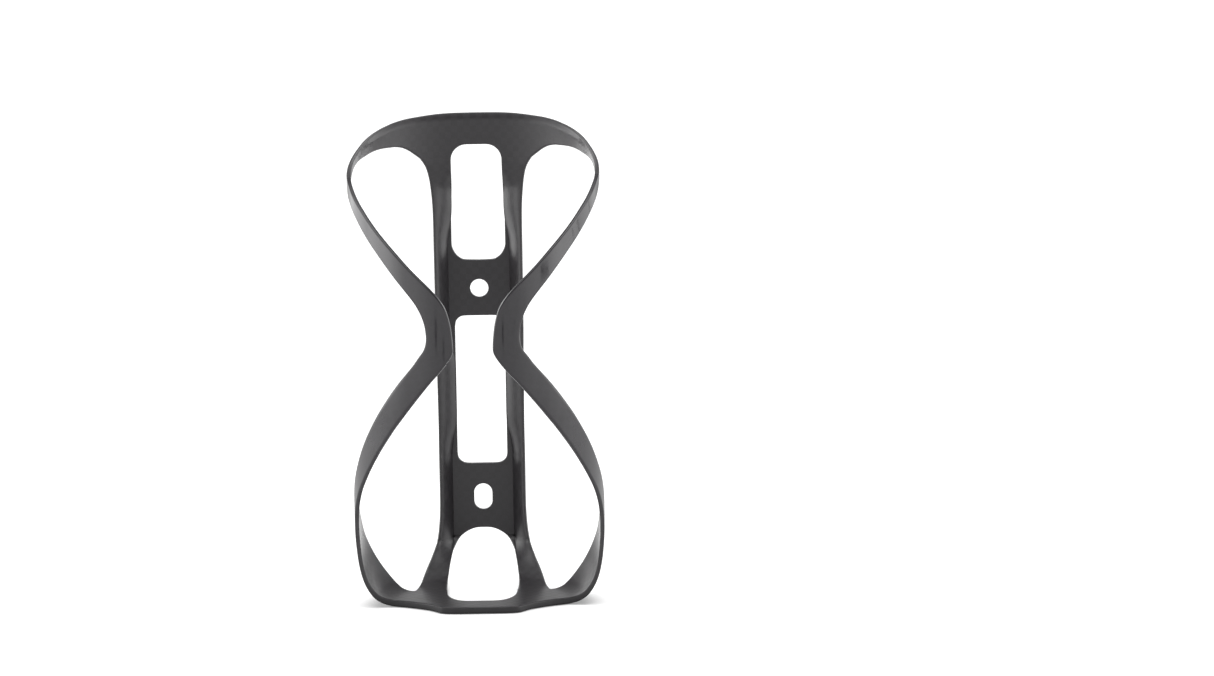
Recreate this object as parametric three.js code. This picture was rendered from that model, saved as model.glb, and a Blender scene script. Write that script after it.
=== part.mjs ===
// Moulded carbon-fibre bottle cage for a bicycle.
// Millimetres, +Z up along the bottle; the open front faces -Y, the bolt pads face +Y
// and the right-hand side is +X.
// The cage is drawn about its slotted bolt hole and then moved so that the
// origin is the middle of the footprint, on the underside.
import * as THREE from 'three';
import { mergeVertices } from 'three/addons/utils/BufferGeometryUtils.js';

// ---- driving dimensions ----
const BOLT_SPACING = 64;     // round hole to slot, centre to centre
const HOLE_D = 5.5;          // clearance hole for an M5 bolt
const SLOT_W = HOLE_D;       // lower slot, width
const SLOT_L = 8;            // lower slot, end to end
const PLATE_T = 2;           // thickness of the two bolt plates
const PLATE_HALF = 8.5;      // half width of the bolt plates
const UPPER_PLATE_TOP = 77.3;
const UPPER_PLATE_BOTTOM = 52.6;
const LOWER_PLATE_TOP = 13.2;
const LOWER_PLATE_BOTTOM = -11.8;
const RING_R = 36.2;         // middle surface of the ribbons, about the bottle's axis
const AXIS_Y = -41.3;        // bottle's axis, in front of the bolt plates' front face
const SHEET = 1.3;           // laminate thickness of ribbons and rails
const BASE_T = 2;            // laminate thickness of the shelf
const BASE_Z = -24;          // middle surface of the shelf, below the slot
const GAP = 0.3;             // bond line between neighbouring pieces
const RAIL_TOP = 104.3;
const RAIL_FOOT_Y = -27.2;   // where the rails end on the shelf

// ---- number helpers ----
const clamp = (v, low, high) => Math.min(high, Math.max(low, v));
const mix = (a, b, t) => a + (b - a) * t;
const mixPoints = (p, q, t) => p.map((v, i) => mix(v, q[i], t));
function smooth(from, to, v) {
  const t = clamp((v - from) / (to - from), 0, 1);
  return t * t * (3 - 2 * t);
}

// straight-line look-up in [x, value] rows, x ascending
function lookUp(rows, x) {
  if (x <= rows[0][0]) return rows[0][1];
  for (let i = 1; i < rows.length; i++) {
    const [x0, v0] = rows[i - 1];
    const [x1, v1] = rows[i];
    if (x <= x1) return mix(v0, v1, (x - x0) / (x1 - x0));
  }
  return rows[rows.length - 1][1];
}

// Catmull-Rom curve through the points, each span cut into equal steps
function splinePoints(points, steps) {
  const extend = (end, next) => end.map((v, i) => 2 * v - next[i]);
  const result = [];
  for (let k = 0; k < points.length - 1; k++) {
    const start = points[k];
    const end = points[k + 1];
    const before = points[k - 1] ?? extend(start, end);
    const after = points[k + 2] ?? extend(end, start);
    for (let step = 0; step < steps; step++) {
      const t = step / steps;
      result.push(start.map((v, i) => 0.5 * (2 * v + (end[i] - before[i]) * t
        + (2 * before[i] - 5 * v + 4 * end[i] - after[i]) * t * t
        + (3 * v - before[i] - 3 * end[i] + after[i]) * t * t * t)));
    }
  }
  result.push(points[points.length - 1]);
  return result;
}

// ---- the bottle-shaped surface that every ribbon lies on ----
// [radius, z] down the wall, round the bottom corner and in across the shelf
const CUP_STATIONS = [
  [RING_R, 130], [RING_R, 60], [RING_R, 20], [RING_R, 8], [RING_R, 2], [36.12, -3], [35.85, -7],
  [35.4, -11], [34.7, -14.5], [33.8, -17.2], [32.6, -19.5], [31, -21.5], [29, -22.9],
  [26.8, -23.7], [24, BASE_Z], [16, BASE_Z], [8, BASE_Z], [0, BASE_Z],
];
// the spline's overshoot is trimmed where the wall and the shelf begin
const CUP = splinePoints(CUP_STATIONS, 8)
  .map(([r, z]) => [Math.min(r, RING_R), Math.max(z, BASE_Z)]);
const HEIGHT_BY_RADIUS = CUP.slice().reverse();
const RADIUS_BY_HEIGHT = HEIGHT_BY_RADIUS.map(([r, z]) => [z, r]);

// point on the wall: degrees round from the open front, and height
function wall(angle, z, extraRadius = 0) {
  const r = lookUp(RADIUS_BY_HEIGHT, z) + extraRadius;
  const a = THREE.MathUtils.degToRad(angle);
  return [r * Math.sin(a), AXIS_Y - r * Math.cos(a), z];
}

// point on the shelf or its rounded corner, from its plan position
function floor(x, y) {
  return [x, y, lookUp(HEIGHT_BY_RADIUS, Math.hypot(x, y - AXIS_Y))];
}

// nearest point of the cup surface
function ontoCup([x, y, z]) {
  const dy = y - AXIS_Y;
  const r = Math.hypot(x, dy);
  let nearest = Infinity;
  let cupR = 0;
  let cupZ = 0;
  for (let i = 1; i < CUP.length; i++) {
    const [r0, z0] = CUP[i - 1];
    const [r1, z1] = CUP[i];
    const lengthSq = (r1 - r0) ** 2 + (z1 - z0) ** 2;
    const t = clamp(((r - r0) * (r1 - r0) + (z - z0) * (z1 - z0)) / lengthSq, 0, 1);
    const footR = mix(r0, r1, t);
    const footZ = mix(z0, z1, t);
    const distanceSq = (r - footR) ** 2 + (z - footZ) ** 2;
    if (distanceSq < nearest) {
      nearest = distanceSq;
      cupR = footR;
      cupZ = footZ;
    }
  }
  return [x / r * cupR, AXIS_Y + dy / r * cupR, cupZ];
}

// ---- grids and sheets ----
// one row of points per station, from its first edge to its second
function gridRow(columns, pointAt) {
  return Array.from({ length: columns + 1 }, (_, j) => pointAt(j / columns));
}

const ribbonGrid = (stations, columns) => stations.map(
  ([first, second]) => gridRow(columns, (t) => ontoCup(mixPoints(first, second, t))));

const mirrored = (grid) => grid.map((row) => row.map(([x, y, z]) => [-x, y, z]));

// right half and its mirror image, sharing the middle row
const bothHalves = (grid) => grid.concat(mirrored(grid).reverse().slice(1));

// closed sheet about a grid on its middle surface; side is -1 for a mirrored grid
function sheet(grid, thicknessAt, side = 1) {
  const lastRow = grid.length - 1;
  const lastCol = grid[0].length - 1;
  const at = (i, j) => new THREE.Vector3(
    ...grid[clamp(i, 0, lastRow)][clamp(j, 0, lastCol)]);
  const points = [];
  const faceA = [];
  const faceB = [];
  for (let i = 0; i <= lastRow; i++) {
    faceA.push([]);
    faceB.push([]);
    for (let j = 0; j <= lastCol; j++) {
      const alongRows = at(i + 1, j).sub(at(i - 1, j));
      const alongCols = at(i, j + 1).sub(at(i, j - 1));
      const offset = alongRows.cross(alongCols).normalize()
        .multiplyScalar(side * thicknessAt(i) / 2);
      faceA[i].push(points.push(at(i, j).add(offset)) - 1);
      faceB[i].push(points.push(at(i, j).sub(offset)) - 1);
    }
  }

  const index = [];
  const quad = (a, b, c, d) => index.push(a, b, c, a, c, d);
  for (let i = 0; i < lastRow; i++) {
    const [a0, a1, b0, b1] = [faceA[i], faceA[i + 1], faceB[i], faceB[i + 1]];
    for (let j = 0; j < lastCol; j++) {
      quad(a0[j], a1[j], a1[j + 1], a0[j + 1]);
      quad(b0[j], b0[j + 1], b1[j + 1], b1[j]);
    }
    quad(a0[0], b0[0], b1[0], a1[0]);
    quad(a0[lastCol], a1[lastCol], b1[lastCol], b0[lastCol]);
  }
  const [aStart, bStart] = [faceA[0], faceB[0]];
  const [aEnd, bEnd] = [faceA[lastRow], faceB[lastRow]];
  for (let j = 0; j < lastCol; j++) {
    quad(aStart[j], aStart[j + 1], bStart[j + 1], bStart[j]);
    quad(aEnd[j], bEnd[j], bEnd[j + 1], aEnd[j + 1]);
  }
  faceOutwards(points, index);

  const geometry = new THREE.BufferGeometry().setFromPoints(points);
  geometry.setIndex(index);
  return geometry;
}

// a negative enclosed volume means every triangle faces inwards
function faceOutwards(points, index) {
  let volume = 0;
  for (let k = 0; k < index.length; k += 3) {
    const [a, b, c] = index.slice(k, k + 3).map((n) => points[n]);
    volume += a.dot(b.clone().cross(c)) / 6;
  }
  if (volume >= 0) return;
  for (let k = 0; k < index.length; k += 3) {
    [index[k + 1], index[k + 2]] = [index[k + 2], index[k + 1]];
  }
}

// ---- wings: down the upper arm, round the waist and back along the lower arm ----
// front edge angle, z, rear edge angle, z
const WING = [
  [84.5, 103.4, 86.3, 100.7], [78, 101.8, 80.3, 98.3], [72, 99.9, 75, 96.3],
  [66, 97.7, 69.5, 94.1], [60, 95.4, 64, 91.7], [54, 92.7, 59, 89.3], [48, 89.9, 53.5, 86.5],
  [42, 87, 48, 83.6], [36, 83.9, 42.5, 80.4], [30, 80.6, 37, 77], [24, 77.4, 31.7, 73.7],
  [19.5, 74.9, 27.5, 70.8], [15.4, 72.2, 24.9, 68.4], [12.4, 69.4, 23.3, 66.3],
  [10.9, 66.8, 22.3, 64.4], [9.9, 64, 21.8, 62.6], [9.3, 61, 21.6, 60.8],
  [9, 58.3, 21.8, 59.2], [9.2, 56.6, 22.4, 57.8], [10.3, 55, 23.5, 56.5],
  [12.6, 52.9, 25.5, 54.9], [16, 50.3, 28.4, 52.5], [20, 47.6, 32, 50], [25, 44, 36.2, 47.2],
  [30, 40.4, 41, 43.8], [35, 36.8, 45.8, 40.3], [40, 33.3, 50.5, 36.9], [45, 29.7, 55, 33.5],
  [50, 26.2, 59.3, 30.3], [55, 22.7, 63.8, 26.9], [60, 19.3, 68, 23.7], [65, 16, 72.3, 20.4],
  [70, 12.9, 76.5, 17.3], [74.5, 9.9, 80.6, 14.4], [79, 6.8, 84.5, 11.4], [82, 4.3, 88, 9],
];

function wingGrid() {
  const stations = WING.map(([frontAngle, frontZ, rearAngle, rearZ]) => [
    wall(frontAngle, frontZ), wall(rearAngle, rearZ)]);
  return ribbonGrid(stations, 3);
}

// ---- collar: from the wing's root round to the rear centre ----
const LIP = 0.5;                       // how far the top edge rolls outwards
const LIP_DEPTH = 2.2;                 // height of the rolled strip
const LIP_START = 105;                 // angles between which the lip grows
const LIP_FULL = 135;
const COLLAR_LOW = RAIL_TOP + GAP;     // bottom edge above the rails

// top edge angle, z, bottom edge angle, z
const COLLAR = [
  [85, 103.55, 86.8, 100.85], [89, 104.6, 90.5, 102], [95, 106, 95.5, 103.5],
  [100, 107.2, 100, 104.8], [104, 108.2, 104, 105.7], [108, 109.2, 108, 106.4],
  [112, 110.2, 112, 106.95], [116, 111.3, 116, 107.4], [120, 112.3, 120, 107.95],
  [124, 113.2, 124, 108.4], [128, 114, 128, 108.7], [132, 114.75, 132, 108.8],
  [136, 115.4, 136, 108.8], [139, 115.9, 139, 108.75], [143, 116.4, 143, 108.3],
  [146.5, 116.75, 146.5, 107.2], [149.5, 116.95, 149.5, 105.9],
  [152, 117.1, 152.8, COLLAR_LOW], [156, 117.35, 156, COLLAR_LOW],
  [162, 117.65, 162, COLLAR_LOW], [167.9, 117.8, 167.9, COLLAR_LOW],
  [168.4, 117.8, 168.4, 105.5], [169.4, 117.8, 169.4, 106.55], [171.1, 117.8, 171.1, 107.5],
  [173.1, 117.8, 173.1, 108.1], [175.2, 117.8, 175.2, 108.3], [177.6, 117.8, 177.6, 108.3],
  [180, 117.8, 180, 108.3],
];

function collarGrid() {
  const half = COLLAR.map(([topAngle, topZ, lowAngle, lowZ]) => gridRow(5, (t) => {
    const angle = mix(topAngle, lowAngle, t);
    const z = mix(topZ, lowZ, t);
    const roll = LIP * smooth(LIP_START, LIP_FULL, angle) * smooth(LIP_DEPTH, 0, topZ - z);
    return wall(angle, z, roll);
  }));
  return bothHalves(half);
}

// ---- hoop and shelf: from the wing's root down the side and in to the middle ----
const SHELF_REAR_Y = RAIL_FOOT_Y - GAP;   // shelf edge against the rails' feet

// front edge, rear edge
const HOOP = [
  [wall(82.5, 3.75), wall(88.7, 8.45)], [wall(85.3, 0.5), wall(93.5, 5)],
  [wall(87, -3), wall(99, 0.8)], [wall(87.8, -6.5), wall(104, -4)],
  [wall(88.2, -10), wall(108.6, -7.7)], [wall(88.2, -13.5), wall(112.8, -11.1)],
  [wall(88, -16.8), wall(116.6, -14.4)], [wall(88, -19.6), wall(119.7, -17.4)],
  [wall(88.2, -21.6), wall(121.7, -20)], [floor(28.8, -41.6), wall(122.4, -21.9)],
  [floor(26, -41), floor(24.4, -26)], [floor(23, -42), floor(22, -27.2)],
  [floor(20.3, -43.4), floor(20.2, SHELF_REAR_Y)],
  [floor(17.5, -45.2), floor(16.5, SHELF_REAR_Y)],
  [floor(14.8, -47.3), floor(13, SHELF_REAR_Y)],
  [floor(12.9, -49.6), floor(10.45, SHELF_REAR_Y)],
  [floor(12.2, -50.6), floor(10.35, -31)], [floor(11.5, -51.4), floor(9.9, -35)],
  [floor(10.4, -51.9), floor(8.7, -38.6)], [floor(8.8, -52.2), floor(6.9, -41.2)],
  [floor(6.4, -52.4), floor(4.9, -42.4)], [floor(3.2, -52.4), floor(2.5, -42.6)],
  [floor(0, -52.4), floor(0, -42.6)],
];

function baseHoop() {
  const grid = bothHalves(ribbonGrid(HOOP, 5));
  // thickens from ribbon to shelf between the 5th and 11th rows in from either end
  const thicknessAt = (i) => {
    const rowsFromEnd = Math.min(i, grid.length - 1 - i);
    return mix(SHEET, BASE_T, smooth(5, 11, rowsFromEnd));
  };
  return sheet(grid, thicknessAt);
}

// ---- spine rails ----
const CHANNEL_D = 5.4;            // depth of the spine's channel
const FOOT_EXTRA_D = 1.9;         // the channel deepens by about this towards the foot
const CHANNEL_X = 9.1;            // where the channel's wall starts beside a bolt plate
const WALL_X = 7.2;               // where it would start beside a window, past the trimmed edge
const WALL_EASE = 0.25;           // share of the wall's width over which its slope builds up
const RAIL_BESIDE_PLATE = PLATE_HALF + GAP + 0.1;
const MID_WINDOW_HALF = 7.5;
// heights just past the plate ends, where the rail's inner edge steps
const UPPER_STEP = UPPER_PLATE_TOP + GAP;
const MIDDLE_STEP = UPPER_PLATE_BOTTOM - GAP;
const LOWER_STEP = LOWER_PLATE_TOP + GAP;

// z, x of the rail's outer edge
const RAIL_OUTER = [
  [-12.3, 13.95], [-10, 13.55], [-8, 13.3], [-5, 13.05], [0, 12.9], [20, 12.95], [40, 13.1],
  [68, 13.25], [80, 13.3], [88, 13.4], [92, 13.6], [96, 13.95], [99, 14.4], [101.5, 15],
  [103.2, 15.7], [RAIL_TOP, 16.3],
];
// z, half width of the window above the upper plate
const UPPER_WINDOW = [[77.9, 8.05], [92, 8], [96, 7.75], [100, 7.62], [RAIL_TOP, 7.6]];

// heights of the rail's rows, with a close pair across each step
const stepPair = (z) => [z + 0.01, z - 0.01];
const RAIL_Z = [
  RAIL_TOP, 103.1, 101.9, 100.7, 99.5, 98.3, 97.1, 95.9, 93, 89, 84, 80, 77.9,
  ...stepPair(UPPER_STEP), 73, 68, 62, 57, ...stepPair(MIDDLE_STEP), 48, 42, 35, 28, 20, 13.8,
  ...stepPair(LOWER_STEP), 9, 4, -1, -5, -8, -10, -11.3, -12.35,
];
// inner edge, outer edge, share of the channel's section
const FOOT = [
  [[7.4, 0.45, -12.65], [14.1, -7.05, -12.65], 0.97],
  [[8, -0.1, -13.4], [14.45, -7.8, -13.5], 0.92],
  [[8.6, -1.3, -14.35], [14.85, -8.95, -14.5], 0.85],
  [[9.3, -3.6, -15.75], [15.35, -10.35, -15.6], 0.7],
  [[9.8, -6.2, -17.2], [15.95, -11.85, -16.95], 0.55],
  [[10.2, -8.7, -18.8], [16.7, -13.4, -18.4], 0.4],
  [[10.5, -10.9, -20.4], [17.5, -15.2, -20.1], 0.25],
  [[10.75, -12.9, -22], [18.15, -17.4, -21.55], 0.1],
  [[10.8, -16, -23.2], [18.8, -20.2, -22.95], 0],
  [[10.7, -20.5, -23.9], [19.4, -23.4, -23.75], 0],
  [[10.45, RAIL_FOOT_Y, BASE_Z], [20, RAIL_FOOT_Y, BASE_Z], 0],
];

function railInnerX(z) {
  if (z > UPPER_STEP) return lookUp(UPPER_WINDOW, z);
  if (z > MIDDLE_STEP) return RAIL_BESIDE_PLATE;
  if (z > LOWER_STEP) return MID_WINDOW_HALF;
  return RAIL_BESIDE_PLATE;
}

// across the channel's wall, 0 at its foot and 1 at its lip: eased in, then levelling off
function wallRise(x, z, outerX) {
  const besideWindow = smooth(LOWER_STEP, 26, z) - smooth(40, MIDDLE_STEP, z) + smooth(77, 91, z);
  const startX = mix(CHANNEL_X, WALL_X, besideWindow);
  const t = clamp((x - startX) / (outerX - startX), 0, 1);
  const q = Math.min(t / WALL_EASE, 1);
  const eased = WALL_EASE * (q ** 3 - q ** 4 / 2) + Math.max(t - WALL_EASE, 0);
  const across = eased / (1 - WALL_EASE / 2);
  return 1 - Math.max(1 - across, 0) ** 1.5;
}

// channel section below, blending into the bottle's ring over the top 12 mm or so
function railY(x, z, outerX) {
  const depth = CHANNEL_D + FOOT_EXTRA_D * clamp((6 - z) / 18, 0, 1.1) ** 2.5;
  const channel = SHEET / 2 - depth * wallRise(x, z, outerX);
  const ring = AXIS_Y + Math.sqrt(RING_R * RING_R - x * x);
  const q = clamp((z - 92) / 12, 0, 1);
  const ringShare = q ** 3 * (6 * q * q - 15 * q + 10);
  return mix(channel, ring, ringShare);
}

function railGrid() {
  const columns = 7;
  const upright = RAIL_Z.map((z) => {
    const outerX = lookUp(RAIL_OUTER, z);
    return gridRow(columns, (t) => {
      const x = mix(railInnerX(z), outerX, t);
      return [x, railY(x, z, outerX), z];
    });
  });
  const foot = FOOT.map(([inner, outer, channelShare]) => gridRow(columns, (t) => {
    const [x, y, z] = mixPoints(inner, outer, t);
    const curvedY = mix(inner[1], outer[1], wallRise(x, z, outer[0]));
    return [x, mix(y, curvedY, channelShare), z];
  }));
  return upright.concat(foot);
}

// thickens to the shelf's laminate over the foot's last rows
function railThickness(i) {
  const thickeningRows = 5;
  const lastRow = RAIL_Z.length + FOOT.length - 1;
  return mix(SHEET, BASE_T, clamp(1 - (lastRow - i) / thickeningRows, 0, 1));
}

// ---- bolt plates ----
// [x, z] of each right half, from the top centre round to the bottom centre
const UPPER_OUTLINE = [
  [0, 72.6], [4.2, 72.75], [5.6, 73.3], [6.8, 74.35], [7.65, 75.8], [8, UPPER_PLATE_TOP],
  [PLATE_HALF, UPPER_PLATE_TOP], [PLATE_HALF, UPPER_PLATE_BOTTOM], [7.5, UPPER_PLATE_BOTTOM],
  [7.2, 54], [6.3, 55.1], [4.7, 55.65], [0, 55.7],
];
const LOWER_OUTLINE = [
  [0, 10.3], [4.6, 10.35], [6.2, 10.9], [7.15, 11.9], [7.5, LOWER_PLATE_TOP],
  [PLATE_HALF, LOWER_PLATE_TOP], [PLATE_HALF, LOWER_PLATE_BOTTOM], [6.65, LOWER_PLATE_BOTTOM],
  [5.6, -11.05], [4.1, -10.2], [2.6, -9.7], [1.3, -9.53], [0, -9.5],
];

// points on an arc centred on x = 0
function arc(centreZ, radius, from, to, count) {
  return Array.from({ length: count }, (_, i) => {
    const a = mix(from, to, i / (count - 1));
    return new THREE.Vector2(radius * Math.cos(a), centreZ + radius * Math.sin(a));
  });
}

function roundHole() {
  const count = 36;
  const lastAngle = 2 * Math.PI * (count - 1) / count;
  return new THREE.Path(arc(BOLT_SPACING, HOLE_D / 2, 0, lastAngle, count));
}

function slotHole() {
  const endZ = (SLOT_L - SLOT_W) / 2;
  return new THREE.Path([
    ...arc(endZ, SLOT_W / 2, 0, Math.PI, 19),
    ...arc(-endZ, SLOT_W / 2, Math.PI, 2 * Math.PI, 19),
  ]);
}

function plate(outline, hole) {
  const left = outline.filter(([x]) => x > 0).reverse().map(([x, z]) => [-x, z]);
  const shape = new THREE.Shape([...outline, ...left].map(([x, z]) => new THREE.Vector2(x, z)));
  shape.holes.push(hole);
  const geometry = new THREE.ExtrudeGeometry(shape, {
    depth: PLATE_T, bevelEnabled: false, curveSegments: 20,
  });
  geometry.rotateX(Math.PI / 2);         // the outline stands up, thickness runs towards -Y
  geometry.translate(0, PLATE_T, 0);     // front face on y = 0, bolt pad on y = PLATE_T
  return geometry;
}

// ---- materials ----
const carbonWeave = () => new THREE.MeshStandardMaterial({
  color: 0x303032, roughness: 0.45, metalness: 0,
});
const carbonGloss = () => new THREE.MeshStandardMaterial({
  color: 0x2a2a2c, roughness: 0.22, metalness: 0,
});

// ---- assembly ----
const cage = new THREE.Group();
cage.name = 'bottle_cage';

function add(name, geometry, material) {
  geometry.deleteAttribute('normal');
  geometry.deleteAttribute('uv');
  const welded = mergeVertices(geometry, 1e-4);
  welded.computeVertexNormals();
  const mesh = new THREE.Mesh(welded, material);
  mesh.name = name;
  cage.add(mesh);
}

function addPair(name, grid, thicknessAt, makeMaterial) {
  add(`right_${name}`, sheet(grid, thicknessAt), makeMaterial());
  add(`left_${name}`, sheet(mirrored(grid), thicknessAt, -1), makeMaterial());
}

addPair('wing', wingGrid(), () => SHEET, carbonGloss);
add('top_collar', sheet(collarGrid(), () => SHEET), carbonWeave());
add('base_hoop', baseHoop(), carbonWeave());
addPair('rail', railGrid(), railThickness, carbonWeave);
add('upper_bolt_plate', plate(UPPER_OUTLINE, roundHole()), carbonWeave());
add('lower_bolt_plate', plate(LOWER_OUTLINE, slotHole()), carbonWeave());

// origin: middle of the footprint, on the underside
const { min, max } = new THREE.Box3().setFromObject(cage);
cage.position.set(-(min.x + max.x) / 2, -(min.y + max.y) / 2, -min.z);
cage.updateMatrixWorld(true);

export default cage;
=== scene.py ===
"""A bottle cage of lacquered carbon: two straps, a collar, a hoop under the bottle, and a
spine of two rails joined by two bolt plates.

Shapes are drawn in millimetres: x to the right, y to the rear, z up. The origin is the
middle of the slotted bolt hole, on the front face of the bolt plates. The bottle stands in
front of the spine, its axis upright at y = AXIS_Y. Angles round it are in degrees, 0 at the
front, 90 at the right and 180 at the spine. Each sheet is drawn by its mid surface.
"""
import math
import bmesh
import bpy
import numpy as np
from mathutils import Matrix, Vector
from mathutils.geometry import tessellate_polygon

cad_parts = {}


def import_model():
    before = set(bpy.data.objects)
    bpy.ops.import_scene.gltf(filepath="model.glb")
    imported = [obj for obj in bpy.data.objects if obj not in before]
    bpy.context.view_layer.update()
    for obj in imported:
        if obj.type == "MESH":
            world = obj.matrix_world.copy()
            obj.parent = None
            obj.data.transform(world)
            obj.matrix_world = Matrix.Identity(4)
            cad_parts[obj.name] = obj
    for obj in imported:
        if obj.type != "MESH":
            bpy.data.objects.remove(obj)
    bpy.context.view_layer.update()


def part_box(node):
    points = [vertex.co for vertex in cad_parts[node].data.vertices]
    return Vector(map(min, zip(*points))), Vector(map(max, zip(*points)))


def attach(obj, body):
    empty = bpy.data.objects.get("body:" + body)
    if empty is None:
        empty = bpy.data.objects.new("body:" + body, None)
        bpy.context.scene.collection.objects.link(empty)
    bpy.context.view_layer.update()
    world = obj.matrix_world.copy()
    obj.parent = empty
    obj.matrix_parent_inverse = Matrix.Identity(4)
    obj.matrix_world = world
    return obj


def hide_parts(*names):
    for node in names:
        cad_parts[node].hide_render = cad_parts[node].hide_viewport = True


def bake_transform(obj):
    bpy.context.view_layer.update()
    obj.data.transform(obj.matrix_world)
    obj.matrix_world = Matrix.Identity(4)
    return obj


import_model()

# ------------------------------------------------------------------ dimensions, mm
HOLE_Z, HOLE_R = 64.0, 2.75         # round hole of the upper plate
SLOT_R, SLOT_H = 2.75, 1.25         # slot of the lower plate: end radius, half its straight
PLATE_T = 2.0
RING_R, AXIS_Y = 36.2, -41.3        # mid surface round the bottle
SHEET, BASE_T, BASE_Z = 1.3, 2.0, -24.0
CHANNEL_D = 5.4                     # how far a rail's outer edge comes forward
CHANNEL_X, WALL_X = 9.1, 7.2        # foot of a rail's wall, beside the plates and the windows
BOND_X = 8.9                        # where plates and rails meet
LIP = 0.66                          # outward flare of the collar's top edge
RIM = 0.42                          # rounding of a trimmed laminate edge
JOIN = 0.02                         # the same where an edge is bonded to its neighbour
RIM_STEPS = 5                       # steps round such an edge
RAIL_TOP, UP_TOP, UP_BOT, LOW_TOP, LOW_BOT = 104.6, 77.6, 52.3, 13.5, -12.0
WINDOW_X = 7.5                      # inner edge of a rail between the plates
SEAM = 0.004                        # gap between rows where a rail's edge steps
CAD_PLATE_Z = 52.6                  # bottom of the upper plate's CAD piece
SHARP = math.radians(50)

# carries the drawing's origin into the row frame
plate_lo, plate_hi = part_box("upper_bolt_plate")
ORIGIN = np.array([0.0, plate_hi.y * 1000 - PLATE_T, plate_lo.z * 1000 - CAD_PLATE_Z])


# -------------------------------------------------------------------- curves
def smooth(start, end, value):
    t = np.clip((np.asarray(value, float) - start) / (end - start), 0, 1)
    return t * t * (3 - 2 * t)


def through(points, u):
    """Catmull-Rom through a list of points; u counts points."""
    P = np.asarray(points, float)
    n = len(P)
    k = np.clip(np.floor(u).astype(int), 0, n - 2)
    t = (u - k)[:, None]
    E = np.vstack([2 * P[0] - P[1], P, 2 * P[-1] - P[-2]])
    p0, p1, p2, p3 = E[k], E[k + 1], E[k + 2], E[k + 3]
    return 0.5 * (2 * p1 + (p2 - p0) * t + (2 * p0 - 5 * p1 + 4 * p2 - p3) * t * t
                  + (3 * p1 - p0 - 3 * p2 + p3) * t ** 3)


def steps(count, sub):
    """Parameters for through(), with sub steps between neighbouring points."""
    return np.linspace(0, count - 1, (count - 1) * sub + 1)


def smoothed(points, sub):
    return through(points, steps(len(points), sub))


def smoothed_with_corners(points, corners, sub):
    """Smooth runs that meet in corners at two inner points."""
    cuts = [0, *corners, len(points) - 1]
    runs = [smoothed(points[a:b + 1], sub) for a, b in zip(cuts[:-1], cuts[1:])]
    return np.vstack([run[:-1] for run in runs[:-1]] + runs[-1:])


def curve(rows, x):
    """Smooth y(x) through a table, x ascending (monotone where the table is)."""
    X, Y = np.array(rows, float).T
    width = np.diff(X)
    slope = np.diff(Y) / width
    m = np.empty_like(Y)
    m[0], m[-1] = slope[0], slope[-1]
    for i in range(1, len(X) - 1):
        before, after = slope[i - 1], slope[i]
        m[i] = 0 if before * after <= 0 else 2 * before * after / (before + after)
    k = np.clip(np.searchsorted(X, x) - 1, 0, len(X) - 2)
    t = np.clip((x - X[k]) / width[k], 0, 1)
    return ((2 * t ** 3 - 3 * t ** 2 + 1) * Y[k] + (t ** 3 - 2 * t ** 2 + t) * width[k] * m[k]
            + (-2 * t ** 3 + 3 * t ** 2) * Y[k + 1] + (t ** 3 - t ** 2) * width[k] * m[k + 1])


def unit(vectors):
    return vectors / np.linalg.norm(vectors, axis=-1, keepdims=True)


def lengths(a, b):
    return np.linalg.norm(b - a, axis=-1)


def run_along(points):
    """Distance travelled along lines of points."""
    step = np.linalg.norm(np.diff(points, axis=-2), axis=-1)
    return np.concatenate([np.zeros(step.shape[:-1] + (1,)), np.cumsum(step, -1)], -1)


# ----------------------------------------- the cup: the surface straps and hoop lie on
# radius from the bottle's axis, z; from the top down and in to the middle
CUP = [
    [RING_R, 130], [RING_R, 60], [RING_R, 20], [RING_R, 8], [RING_R, 2], [36.12, -3],
    [35.85, -7], [35.4, -11], [34.7, -14.5], [33.8, -17.2], [32.6, -19.5], [31.0, -21.5],
    [29.0, -22.9], [26.8, -23.7], [24.0, BASE_Z], [16, BASE_Z], [8, BASE_Z], [0, BASE_Z],
]


def cup_section():
    """The cup's meridian: its points, the distance along it and its outward normals."""
    line = smoothed(CUP, 24)
    line[:, 0] = np.minimum(line[:, 0], RING_R)
    line[:, 1] = np.maximum(line[:, 1], BASE_Z)
    along = unit(np.diff(line, axis=0))
    tangent = np.vstack([along[:1], (along[:-1] + along[1:]) / 2, along[-1:]])
    for _ in range(3):                                    # even out the bend
        tangent[1:-1] = (tangent[:-2] + 2 * tangent[1:-1] + tangent[2:]) / 4
    return line, run_along(line), unit(np.column_stack([-tangent[:, 1], tangent[:, 0]]))


CUP_LINE, CUP_RUN, CUP_NORMAL = cup_section()
FLAT_START = int(np.argmax(CUP_LINE[:, 1] <= BASE_Z + 1e-9))
WALL_R, WALL_Z = CUP_LINE[:FLAT_START + 1].T              # the part above the flat base


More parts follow.
